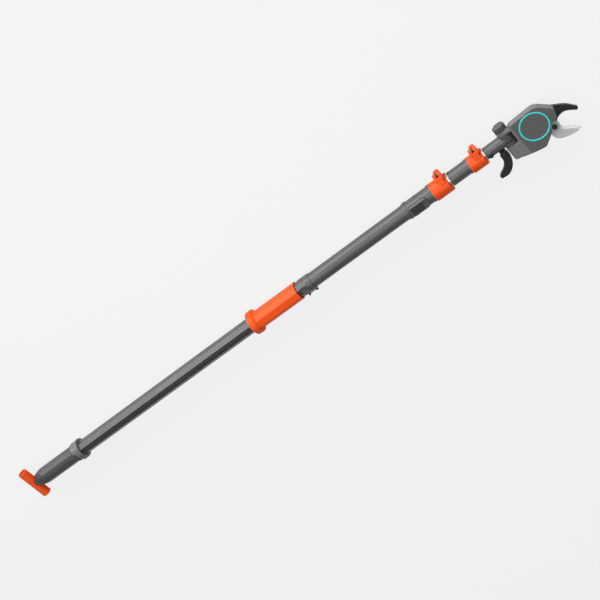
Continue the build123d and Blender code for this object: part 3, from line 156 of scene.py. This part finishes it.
def makeGrainGroup(s):
    group, start, end = newGroup(
        "mouldGrain",
        [("Grain", "NodeSocketFloat", 1500.0), ("Tone", "NodeSocketFloat", 9.0)],
        [("Height", "NodeSocketFloat"), ("Tone", "NodeSocketFloat"), ("Rub", "NodeSocketFloat")])
    place = addNode(group, "ShaderNodeTexCoord")
    grain = addNode(group, "ShaderNodeTexNoise", {"Detail": 4.0, "Roughness": 0.65},
                    {"Vector": place.outputs["Object"], "Scale": start.outputs["Grain"]})
    tone = addNode(group, "ShaderNodeTexNoise", {"Detail": 5.0, "Roughness": 0.55},
                   {"Vector": place.outputs["Object"], "Scale": start.outputs["Tone"]})
    stretch = addNode(group, "ShaderNodeMapping", {"Scale": s["streaks"]},
                      {"Vector": place.outputs["Object"]})
    streak = addNode(group, "ShaderNodeTexNoise", {"Scale": 1.0, "Detail": 4.0, "Roughness": 0.7},
                     {"Vector": stretch.outputs[0]})
    rub = addNode(group, "ShaderNodeMapRange", {"From Min": s["rubFrom"], "From Max": s["rubTo"]},
                  {"Value": streak.outputs["Fac"]})
    group.links.new(grain.outputs["Fac"], end.inputs["Height"])
    group.links.new(tone.outputs["Fac"], end.inputs["Tone"])
    group.links.new(rub.outputs[0], end.inputs["Rub"])
    return group


# Grinding lines across a metal face, with stains between them
def makeBrushGroup():
    group, start, end = newGroup(
        "groundMetal",
        [("Direction", "NodeSocketVector", (40.0, 900.0, 900.0)), ("Stain", "NodeSocketFloat", 28.0)],
        [("Lines", "NodeSocketFloat"), ("Stain", "NodeSocketFloat")])
    place = addNode(group, "ShaderNodeTexCoord")
    stretch = addNode(group, "ShaderNodeVectorMath", {"operation": "MULTIPLY"},
                      {0: place.outputs["Object"], 1: start.outputs["Direction"]})
    lines = addNode(group, "ShaderNodeTexNoise", {"Scale": 1.0, "Detail": 3.0, "Roughness": 0.6},
                    {"Vector": stretch.outputs[0]})
    stain = addNode(group, "ShaderNodeTexNoise", {"Detail": 5.0, "Roughness": 0.6},
                    {"Vector": place.outputs["Object"], "Scale": start.outputs["Stain"]})
    group.links.new(lines.outputs["Fac"], end.inputs["Lines"])
    group.links.new(stain.outputs["Fac"], end.inputs["Stain"])
    return group


# Thin handling scratches that run mostly along the pole, at two slants
scratchSettings = {
    "slants": ((0.16, 3.1), (-0.27, 8.4)),       # turn and shift of each set
    "roll": 0.4,
    "stretch": (22.0, 700.0, 700.0),
    "thinFrom": 0.66,
    "thinTo": 0.72,
    "patchScale": 14.0,
    "patchFrom": 0.42,
    "patchTo": 0.62,
}


def makeScratchGroup(s):
    group, start, end = newGroup(
        "handlingScratches",
        [("Amount", "NodeSocketFloat", 0.5)],
        [("Mask", "NodeSocketFloat")])
    place = addNode(group, "ShaderNodeTexCoord")
    masks = []
    for slant, shift in s["slants"]:
        turned = addNode(group, "ShaderNodeMapping",
                         {"Rotation": (s["roll"], slant, slant), "Location": (shift, shift, 0),
                          "Scale": s["stretch"]},
                         {"Vector": place.outputs["Object"]})
        noise = addNode(group, "ShaderNodeTexNoise", {"Scale": 1.0, "Detail": 2.0, "Roughness": 0.5},
                        {"Vector": turned.outputs[0]})
        thin = addNode(group, "ShaderNodeMapRange", {"From Min": s["thinFrom"], "From Max": s["thinTo"]},
                       {"Value": noise.outputs["Fac"]})
        masks.append(thin.outputs[0])
    patch = addNode(group, "ShaderNodeTexNoise", {"Scale": s["patchScale"], "Detail": 2.0},
                    {"Vector": place.outputs["Object"]})
    where = addNode(group, "ShaderNodeMapRange", {"From Min": s["patchFrom"], "From Max": s["patchTo"]},
                    {"Value": patch.outputs["Fac"]})
    both = mathNode(group, "MULTIPLY", mathNode(group, "MAXIMUM", masks[0], masks[1]), where.outputs[0])
    amount = mathNode(group, "MULTIPLY", both, 1.0, True)
    group.links.new(start.outputs["Amount"], amount.node.inputs[1])
    group.links.new(amount, end.inputs["Mask"])
    return group


# Crossing strands of a plaited cord that runs along X, and a mask of the gaps between them where shade is
# painted
braidSettings = {"fullTurn": 6.283, "gapFrom": 0.75, "gapTo": 0.25}


def makeBraidGroup(s):
    group, start, end = newGroup(
        "cordBraid",
        [("Pitch", "NodeSocketFloat", 620.0)],
        [("Height", "NodeSocketFloat"), ("PaintedGapShade", "NodeSocketFloat")])
    place = addNode(group, "ShaderNodeTexCoord")
    split = addNode(group, "ShaderNodeSeparateXYZ", links={"Vector": place.outputs["Object"]})
    across = mathNode(group, "ADD", split.outputs["Y"], split.outputs["Z"])
    heights = []
    for way in ("ADD", "SUBTRACT"):
        slant = mathNode(group, way, split.outputs["X"], across)
        turns = mathNode(group, "MULTIPLY", slant, 1.0)
        group.links.new(start.outputs["Pitch"], turns.node.inputs[1])
        wave = mathNode(group, "SINE", mathNode(group, "MULTIPLY", turns, s["fullTurn"]))
        heights.append(mathNode(group, "ABSOLUTE", wave))
    height = mathNode(group, "MAXIMUM", heights[0], heights[1])
    # mask of the gaps between strands, where the cord's colour gets painted shade
    paintedGapShade = addNode(group, "ShaderNodeMapRange", {"From Min": s["gapFrom"], "From Max": s["gapTo"]},
                  {"Value": height})
    group.links.new(height, end.inputs["Height"])
    group.links.new(paintedGapShade.outputs[0], end.inputs["PaintedGapShade"])
    return group


edgeGroup = makeEdgeGroup(edgeSettings)
grainGroup = makeGrainGroup(grainSettings)
brushGroup = makeBrushGroup()
braidGroup = makeBraidGroup(braidSettings)
scratchGroup = makeScratchGroup(scratchSettings)
print("shader groups built")


def useGroup(tree, group, values=None):
    node = tree.nodes.new("ShaderNodeGroup")
    node.node_tree = group
    for key, value in (values or {}).items():
        node.inputs[key].default_value = value
    return node


def mixColour(tree, factor, first, second):
    node = tree.nodes.new("ShaderNodeMix")
    node.data_type = "RGBA"
    for index, value in ((0, factor), (6, first), (7, second)):
        if isinstance(value, (int, float)):
            node.inputs[index].default_value = value
        elif isinstance(value, tuple):
            node.inputs[index].default_value = (*value, 1.0)
        else:
            tree.links.new(value, node.inputs[index])
    return node.outputs[2]


def startMaterial(name):
    material = bpy.data.materials.new(name)
    material.use_nodes = True
    tree = material.node_tree
    return material, tree, tree.nodes["Principled BSDF"]


# Moulded plastic: fine grain, soft tone changes, rubbed streaks and paler edges
def plasticMaterial(name, s):
    material, tree, shader = startMaterial(name)
    grain = useGroup(tree, grainGroup, {"Grain": s["grain"], "Tone": s["toneScale"]})
    edge = useGroup(tree, edgeGroup, {"Radius": s["edge"]})
    base = mixColour(tree, grain.outputs["Tone"], s["dark"], s["light"])
    rubAmount = mathNode(tree, "MULTIPLY", grain.outputs["Rub"], s["rub"])
    rubbed = mixColour(tree, rubAmount, base, s["worn"])
    scratch = useGroup(tree, scratchGroup, {"Amount": s["scratch"]})
    scuffed = mixColour(tree, scratch.outputs["Mask"], rubbed, s["worn"])
    wear = mathNode(tree, "MULTIPLY", edge.outputs["Mask"], s["wear"])
    tree.links.new(mixColour(tree, wear, scuffed, s["worn"]), shader.inputs["Base Color"])
    rough = mathNode(tree, "MULTIPLY_ADD", grain.outputs["Tone"], s["roughChange"])
    rough.node.inputs[2].default_value = s["rough"] - s["roughChange"] / 2
    dulled = mathNode(tree, "MULTIPLY_ADD", scratch.outputs["Mask"], s["dulled"])
    tree.links.new(rough, dulled.node.inputs[2])
    tree.links.new(dulled, shader.inputs["Roughness"])
    bump = addNode(tree, "ShaderNodeBump", {"Strength": s["bump"], "Distance": s["bumpDepth"]},
                   {"Height": grain.outputs["Height"], "Normal": edge.outputs["Normal"]})
    tree.links.new(bump.outputs[0], shader.inputs["Normal"])
    shader.inputs["Specular IOR Level"].default_value = s["specular"]
    return material


# Ground or plated metal with fine lines, faint stains and bright edges
def metalMaterial(name, s):
    material, tree, shader = startMaterial(name)
    brush = useGroup(tree, brushGroup, {"Direction": s["direction"], "Stain": s["stainScale"]})
    edge = useGroup(tree, edgeGroup, {"Radius": s["edge"]})
    lined = mixColour(tree, brush.outputs["Lines"], s["dark"], s["light"])
    stainAmount = mathNode(tree, "MULTIPLY", brush.outputs["Stain"], s["stain"])
    stained = mixColour(tree, stainAmount, lined, s["stainColour"])
    wear = mathNode(tree, "MULTIPLY", edge.outputs["Mask"], s["wear"])
    tree.links.new(mixColour(tree, wear, stained, s["worn"]), shader.inputs["Base Color"])
    rough = mathNode(tree, "MULTIPLY_ADD", brush.outputs["Lines"], s["roughChange"])
    rough.node.inputs[2].default_value = s["rough"] - s["roughChange"] / 2
    tree.links.new(rough, shader.inputs["Roughness"])
    bump = addNode(tree, "ShaderNodeBump", {"Strength": s["bump"], "Distance": s["bumpDepth"]},
                   {"Height": brush.outputs["Lines"], "Normal": edge.outputs["Normal"]})
    tree.links.new(bump.outputs[0], shader.inputs["Normal"])
    shader.inputs["Metallic"].default_value = s["metallic"]
    return material


# Plaited cord: dark strands, painted shade in the gaps between strands, and a few pale fibres
def cordMaterial(name, s):
    material, tree, shader = startMaterial(name)
    braid = useGroup(tree, braidGroup, {"Pitch": s["pitch"]})
    grain = useGroup(tree, grainGroup, {"Grain": s["grain"], "Tone": s["toneScale"]})
    strand = mixColour(tree, grain.outputs["Tone"], s["dark"], s["light"])
    fibre = mathNode(tree, "MULTIPLY", grain.outputs["Rub"], s["fibre"])
    strand = mixColour(tree, fibre, strand, s["pale"])
    # the gaps between strands are painted darker: painted shade
    tree.links.new(mixColour(tree, braid.outputs["PaintedGapShade"], strand, s["paintedGapShade"]), shader.inputs["Base Color"])
    rough = mathNode(tree, "MULTIPLY_ADD", grain.outputs["Tone"], s["roughChange"])
    rough.node.inputs[2].default_value = s["rough"]
    tree.links.new(rough, shader.inputs["Roughness"])
    bump = addNode(tree, "ShaderNodeBump", {"Strength": s["bump"], "Distance": s["bumpDepth"]},
                   {"Height": braid.outputs["Height"]})
    tree.links.new(bump.outputs[0], shader.inputs["Normal"])
    shader.inputs["Specular IOR Level"].default_value = s["specular"]
    return material


# Blade steel: dull body, ground bevel painted near white (its brighter ground finish with a painted
# highlight in it), grinding lines and faint stains
def bladeMaterial(name, s):
    material, tree, shader = startMaterial(name)
    brush = useGroup(tree, brushGroup, {"Direction": s["direction"], "Stain": s["stainScale"]})
    edge = useGroup(tree, edgeGroup, {"Radius": s["edge"]})
    place = addNode(tree, "ShaderNodeTexCoord")
    split = addNode(tree, "ShaderNodeSeparateXYZ", links={"Vector": place.outputs["Normal"]})
    facing = mathNode(tree, "ABSOLUTE", split.outputs["Z"])
    tilted = addNode(tree, "ShaderNodeMapRange", {"From Min": s["flat"], "From Max": s["tilted"]},
                     {"Value": facing})
    upright = addNode(tree, "ShaderNodeMapRange", {"From Min": s["steep"], "From Max": s["shallow"]},
                      {"Value": facing})
    ground = mathNode(tree, "MULTIPLY", tilted.outputs[0], upright.outputs[0])
    lined = mixColour(tree, brush.outputs["Lines"], s["dark"], s["light"])
    stainAmount = mathNode(tree, "MULTIPLY", brush.outputs["Stain"], s["stain"])
    lined = mixColour(tree, stainAmount, lined, s["stainColour"])
    # the ground bevel's colour is its brighter ground finish with a painted highlight added
    bright = mixColour(tree, brush.outputs["Lines"], s["groundDarkWithHighlight"], s["groundLightWithHighlight"])
    base = mixColour(tree, ground, lined, bright)
    wear = mathNode(tree, "MULTIPLY", edge.outputs["Mask"], s["wear"])
    tree.links.new(mixColour(tree, wear, base, s["worn"]), shader.inputs["Base Color"])
    rough = mathNode(tree, "MULTIPLY_ADD", brush.outputs["Lines"], s["roughChange"])
    rough.node.inputs[2].default_value = s["rough"] - s["roughChange"] / 2
    tree.links.new(rough, shader.inputs["Roughness"])
    bump = addNode(tree, "ShaderNodeBump", {"Strength": s["bump"], "Distance": s["bumpDepth"]},
                   {"Height": brush.outputs["Lines"], "Normal": edge.outputs["Normal"]})
    tree.links.new(bump.outputs[0], shader.inputs["Normal"])
    shader.inputs["Metallic"].default_value = s["metallic"]
    return material


greyPlastic = {"dark": (0.058, 0.059, 0.060), "light": (0.080, 0.081, 0.082), "worn": (0.24, 0.24, 0.245),
               "grain": 1500.0, "toneScale": 9.0, "edge": 0.0007, "rub": 0.10, "wear": 0.55,
               "rough": 0.44, "roughChange": 0.18, "bump": 0.5, "bumpDepth": 0.0002, "specular": 0.7,
               "scratch": 0.30, "dulled": 0.15}
plasticFinishes = {
    "grey_plastic": greyPlastic,
    "head_plastic": dict(greyPlastic, dark=(0.135, 0.136, 0.138), light=(0.185, 0.186, 0.188), specular=0.9,
                         rough=0.36, edge=0.0016),
    "face_plastic": dict(greyPlastic, dark=(0.082, 0.080, 0.077), light=(0.112, 0.109, 0.105), rough=0.50),
    "orange_plastic": dict(greyPlastic, dark=(0.78, 0.068, 0.002), light=(0.92, 0.098, 0.004),
                           worn=(0.98, 0.22, 0.06), specular=0.32, rough=0.46, grain=1100.0, bump=0.22,
                           wear=0.4, rub=0.05),
    "turquoise_plastic": dict(greyPlastic, dark=(0.022, 0.62, 0.70), light=(0.04, 0.74, 0.82),
                              worn=(0.25, 0.75, 0.78), rough=0.28, bump=0.08, wear=0.3, rub=0.04),
    "black_plastic": dict(greyPlastic, dark=(0.004, 0.004, 0.005), light=(0.009, 0.009, 0.010),
                          worn=(0.06, 0.06, 0.062), rough=0.42, bump=0.3, wear=0.5, rub=0.08),
    "coated_tube": dict(greyPlastic, dark=(0.054, 0.054, 0.055), light=(0.074, 0.074, 0.075),
                        worn=(0.30, 0.30, 0.31), rough=0.44, grain=2200.0, bump=0.18, rub=0.22, wear=0.35),
    "black_steel": dict(greyPlastic, dark=(0.005, 0.005, 0.006), light=(0.010, 0.010, 0.011),
                        worn=(0.16, 0.16, 0.165), rough=0.36, grain=1900.0, bump=0.25, rub=0.12, wear=0.8,
                        edge=0.0005),
    "bearing_plastic": dict(greyPlastic, dark=(0.60, 0.58, 0.52), light=(0.70, 0.68, 0.62),
                            worn=(0.45, 0.43, 0.38), rough=0.38, bump=0.1, rub=0.15, wear=0.3),
}
bladeMetal = {"dark": (0.50, 0.51, 0.53), "light": (0.66, 0.67, 0.69), "stainColour": (0.42, 0.42, 0.43),
              "worn": (0.88, 0.89, 0.90), "direction": (900.0, 60.0, 900.0), "stainScale": 28.0,
              "edge": 0.0005, "stain": 0.35, "wear": 0.8, "rough": 0.30, "roughChange": 0.16,
              "bump": 0.25, "bumpDepth": 0.0001, "metallic": 0.9}
metalFinishes = {
    "bare_tube": dict(bladeMetal, dark=(0.70, 0.71, 0.72), light=(0.82, 0.83, 0.84),
                      direction=(30.0, 900.0, 900.0), stain=0.15, rough=0.32),
    "zinc_steel": dict(bladeMetal, dark=(0.36, 0.37, 0.38), light=(0.50, 0.51, 0.53), stain=0.5,
                       direction=(300.0, 300.0, 300.0), rough=0.38),
    "gear_steel": dict(bladeMetal, dark=(0.52, 0.53, 0.54), light=(0.66, 0.67, 0.68), rough=0.42,
                       metallic=0.4),
    "spring_steel": dict(bladeMetal, dark=(0.14, 0.16, 0.20), light=(0.22, 0.25, 0.30), rough=0.34),
}
# the bevel colours hold a painted highlight on top of the ground finish
bladeSteel = dict(bladeMetal, dark=(0.70, 0.71, 0.72), light=(0.84, 0.85, 0.86),
                  groundDarkWithHighlight=(0.90, 0.90, 0.91), groundLightWithHighlight=(0.98, 0.98, 0.98), rough=0.42, metallic=0.35,
                  flat=0.993, tilted=0.985, shallow=0.9, steep=0.85)      # how far the bevel faces up
# the gap colour below is painted shade between the strands
cordFibre = {"dark": (0.010, 0.010, 0.011), "light": (0.026, 0.026, 0.028), "paintedGapShade": (0.002, 0.002, 0.002),
             "pale": (0.12, 0.12, 0.12), "pitch": 620.0, "grain": 2600.0, "toneScale": 30.0, "fibre": 0.4,
             "rough": 0.8, "roughChange": 0.15, "bump": 0.8, "bumpDepth": 0.0002, "specular": 0.2}
materials = {"cord_fibre": cordMaterial("cord_fibre_finish", cordFibre),
             "blade_steel": bladeMaterial("blade_steel_finish", bladeSteel)}
for slotName, settings in plasticFinishes.items():
    materials[slotName] = plasticMaterial(slotName + "_finish", settings)
for slotName, settings in metalFinishes.items():
    materials[slotName] = metalMaterial(slotName + "_finish", settings)
nodeFinishes = {       # nodes that stand out from the rest of their slot
    "lock_ring": dict(greyPlastic, dark=(0.11, 0.11, 0.112), light=(0.15, 0.15, 0.152), rough=0.40),
    "latch_slider": dict(greyPlastic, dark=(0.018, 0.018, 0.019), light=(0.030, 0.030, 0.031), rough=0.38),
    "grip_shell": dict(plasticFinishes["orange_plastic"], edge=0.0045),
    "channel_strip": dict(greyPlastic, dark=(0.016, 0.016, 0.017), light=(0.026, 0.026, 0.027), rough=0.5),
    "foot_shell": dict(greyPlastic, dark=(0.038, 0.040, 0.041), light=(0.055, 0.057, 0.058), edge=0.0015),
}
for entry in frame["record"]["subparts"]:
    name = entry["node"]
    finish = materials[entry["material_slot"]]
    if name in nodeFinishes:
        finish = plasticMaterial(name + "_finish", nodeFinishes[name])
    for slot in nodes[name].material_slots:
        slot.material = finish
print("finishes built,", len(materials))


# Narrow crowned trim on the face of the head, turned from its section
trimRing = {"width": 0.0040, "crown": 0.45, "steps": 144, "profilePoints": 7, "seat": 0.0001,
            "merge": 0.000002}


def makeTrimRing(s):
    low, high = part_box("face_ring")
    centre = Vector(((low[0] + high[0]) / 2, (low[1] + high[1]) / 2, 0))
    outer = (high[0] - low[0]) / 2
    height = high[2] - low[2]
    mesh = bmesh.new()
    middle = outer - s["width"] / 2
    points = [(middle + s["width"] / 2, low[2] + s["seat"])]
    for i in range(s["profilePoints"]):
        angle = math.pi * i / (s["profilePoints"] - 1)
        points.append((middle + s["width"] / 2 * math.cos(angle),
                       low[2] + height * (1 - s["crown"] + s["crown"] * math.sin(angle))))
    points.append((middle - s["width"] / 2, low[2] + s["seat"]))
    verts = [mesh.verts.new((centre.x + r, centre.y, z)) for r, z in points]
    edges = [mesh.edges.new((verts[i], verts[(i + 1) % len(verts)])) for i in range(len(verts))]
    bmesh.ops.spin(mesh, geom=verts + edges, cent=centre, axis=(0, 0, 1), dvec=(0, 0, 0),
                   angle=2 * math.pi, steps=s["steps"], use_merge=True)
    bmesh.ops.remove_doubles(mesh, verts=mesh.verts, dist=s["merge"])
    bmesh.ops.recalc_face_normals(mesh, faces=mesh.faces)
    for face in mesh.faces:
        face.smooth = True
    data = bpy.data.meshes.new("trimRing")
    mesh.to_mesh(data)
    mesh.free()
    ring = bpy.data.objects.new("trimRing", data)
    bpy.context.scene.collection.objects.link(ring)
    data.materials.append(materials["turquoise_plastic"])
    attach(ring, "head")
    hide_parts("face_ring")


makeTrimRing(trimRing)
print("trim ring made")

# Plain pale ground, which keeps the object's shadow
floorSettings = {
    "level": -0.0355,
    "halfSize": 30.0,
    "shown": (0.10, 0.10, 0.101),       # lit part of what the camera sees
    "glow": 0.800,                      # unlit part of it
    "bounced": (0.26, 0.26, 0.26),      # what the object gets back from it
}


def makeFloor(s):
    mesh = bmesh.new()
    bmesh.ops.create_grid(mesh, x_segments=1, y_segments=1, size=s["halfSize"])
    bmesh.ops.translate(mesh, verts=mesh.verts, vec=(0, 0, s["level"]))
    data = bpy.data.meshes.new("floor")
    mesh.to_mesh(data)
    mesh.free()
    floor = bpy.data.objects.new("floor", data)
    bpy.context.scene.collection.objects.link(floor)
    material, tree, shader = startMaterial("floor_finish")
    path = addNode(tree, "ShaderNodeLightPath")
    seen = mathNode(tree, "MAXIMUM", path.outputs["Is Camera Ray"], path.outputs["Is Glossy Ray"])
    seen = mathNode(tree, "MAXIMUM", seen, path.outputs["Is Transmission Ray"])
    tree.links.new(mixColour(tree, seen, s["bounced"], s["shown"]), shader.inputs["Base Color"])
    shader.inputs["Emission Color"].default_value = (1, 1, 1, 1)
    tree.links.new(mathNode(tree, "MULTIPLY", seen, s["glow"]), shader.inputs["Emission Strength"])
    shader.inputs["Roughness"].default_value = 1.0
    shader.inputs["Specular IOR Level"].default_value = 0.0
    data.materials.append(material)


makeFloor(floorSettings)

# Two soft lamps, and an even surround
lightSettings = {
    "keyLight": {"place": (0.75, 6.00, 1.84), "aim": (0.95, 0, 0), "size": (11.2, 3.2), "power": 600.0},
    "topLight": {"place": (1.0, 1.0, 2.7), "aim": (1.0, 0, 0), "size": (2.8, 1.8), "power": 38.0},
}
worldLevel = {"light": 0.26, "shown": 0.885}


def makeLights():
    for name, s in lightSettings.items():
        data = bpy.data.lights.new(name, "AREA")
        data.shape = "RECTANGLE"
        data.size, data.size_y = s["size"]
        data.energy = s["power"]
        light = bpy.data.objects.new(name, data)
        place = Vector(s["place"])
        turn = (Vector(s["aim"]) - place).to_track_quat("-Z", "Y")
        light.matrix_world = Matrix.Translation(place) @ turn.to_matrix().to_4x4()
        bpy.context.scene.collection.objects.link(light)
    world = bpy.data.worlds.new("studio")
    world.use_nodes = True
    tree = world.node_tree
    background = tree.nodes["Background"]
    background.inputs["Color"].default_value = (1, 1, 1, 1)
    path = addNode(tree, "ShaderNodeLightPath")
    seen = mathNode(tree, "MAXIMUM", path.outputs["Is Camera Ray"], path.outputs["Is Transmission Ray"])
    extra = mathNode(tree, "MULTIPLY", seen, worldLevel["shown"] - worldLevel["light"])
    level = mathNode(tree, "ADD", extra, worldLevel["light"])
    tree.links.new(level, background.inputs["Strength"])
    bpy.context.scene.world = world


makeLights()
bpy.context.scene.view_settings.view_transform = "Standard"
print("stage and lights set")
